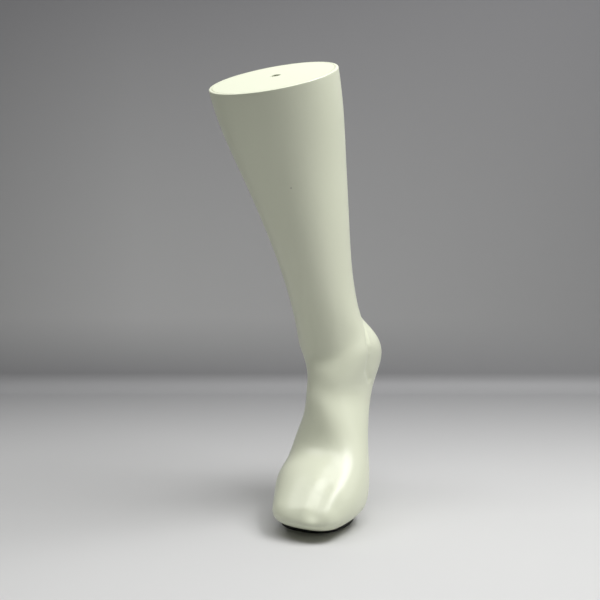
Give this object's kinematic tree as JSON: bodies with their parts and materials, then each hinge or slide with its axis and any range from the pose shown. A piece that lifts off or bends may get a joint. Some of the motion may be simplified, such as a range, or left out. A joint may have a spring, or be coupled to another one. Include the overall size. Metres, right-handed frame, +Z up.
{
  "type": "display leg form",
  "caption": "Hollow right lower-leg display form on the ball of its foot, with a push-in top cap, a hanging hole, a weighted toe and a black rubber-faced sole plate.",
  "frame": {"origin": "on the floor, on the underside of the rubber sole pad below the ball of the foot", "axes": "+Z up, toes towards -Y, the inner (big toe) side of the right leg towards +X"},
  "size_m": [0.1366, 0.2186, 0.4307],
  "materials": {
    "ivory_plastic": "satin",
    "natural_plastic": "matte",
    "zinc_steel": "satin",
    "plaster": "matte",
    "black_steel": "satin",
    "black_rubber": "matte",
    "brass": "satin"
  },
  "bodies": {
    "leg": {"leg_shell": "ivory_plastic", "cap_ledge": "natural_plastic", "ballast_block": "plaster", "sole_plate": "black_steel", "sole_pad": "black_rubber", "plate_screw_1": "zinc_steel", "plate_screw_2": "zinc_steel", "plate_screw_3": "zinc_steel", "plate_insert_1": "brass", "plate_insert_2": "brass", "plate_insert_3": "brass"},
    "cap": {"top_cap": "ivory_plastic", "hanger_nut": "zinc_steel"}
  },
  "joints": [
    {"name": "cap_lift", "type": "slide", "parent": "leg", "child": "cap", "axis": [0, -0.4493, 0.8934], "range_m": [0, 0.03]}
  ]
}
